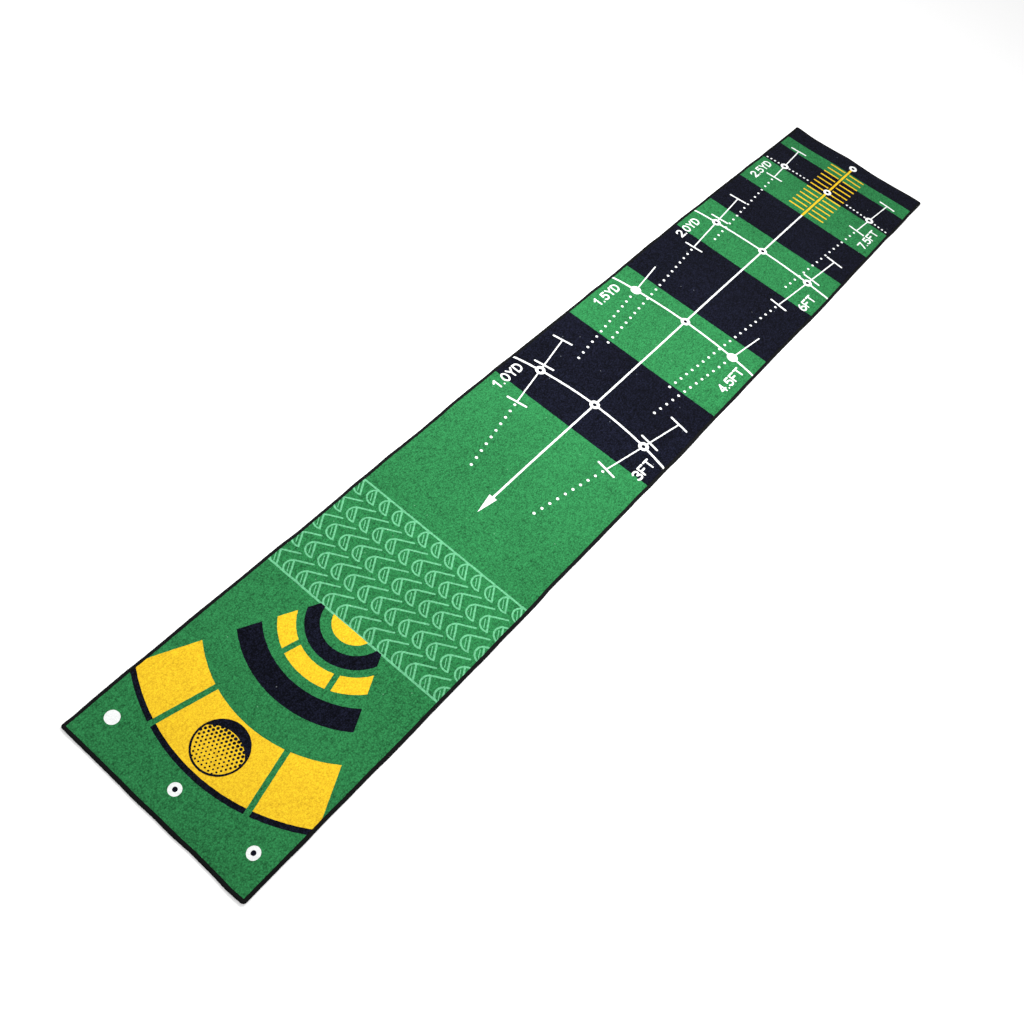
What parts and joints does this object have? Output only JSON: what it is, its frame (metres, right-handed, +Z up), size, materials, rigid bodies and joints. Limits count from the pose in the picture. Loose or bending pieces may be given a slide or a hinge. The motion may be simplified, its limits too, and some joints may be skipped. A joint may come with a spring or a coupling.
{
  "type": "practice putting mat",
  "caption": "Long flat carpet mat with a printed putting line, distance arcs, gates and a ring target, a rubber back and overlocked edges.",
  "frame": {"origin": "middle of the underside, on the floor", "axes": "+Y along the mat from the target end to the far end, +X across it, +Z up out of the pile"},
  "size_m": [0.5, 3, 0.006],
  "materials": {
    "backing_rubber": "matt moulded rubber with fine non-slip pips",
    "precoat_latex": "dull latex film",
    "cloth_green": "plain woven cloth",
    "pile_roots": "lower part of the cut pile, packed close",
    "pile_green": "short cut pile, dyed grass green",
    "pile_black": "short cut pile, dyed blue-black",
    "pile_yellow": "short cut pile, dyed golden yellow",
    "pile_white": "short cut pile, undyed white",
    "pile_light_green": "short cut pile, dyed light green",
    "overlock_yarn": "bulky textured polyester yarn, black",
    "needle_thread": "fine twisted polyester thread, black"
  },
  "bodies": {
    "root": {"rubber_backing": "backing_rubber", "latex_precoat": "precoat_latex", "base_cloth": "cloth_green", "pile_roots": "pile_roots", "pile_green": "pile_green", "pile_black": "pile_black", "pile_yellow": "pile_yellow", "pile_white": "pile_white", "pile_light_green": "pile_light_green", "upper_looper_yarn_left": "overlock_yarn", "upper_looper_yarn_right": "overlock_yarn", "upper_looper_yarn_near": "overlock_yarn", "upper_looper_yarn_far": "overlock_yarn", "lower_looper_yarn_left": "overlock_yarn", "lower_looper_yarn_right": "overlock_yarn", "lower_looper_yarn_near": "overlock_yarn", "lower_looper_yarn_far": "overlock_yarn", "needle_thread_left": "needle_thread", "needle_thread_right": "needle_thread", "needle_thread_near": "needle_thread", "needle_thread_far": "needle_thread"}
  },
  "joints": []
}
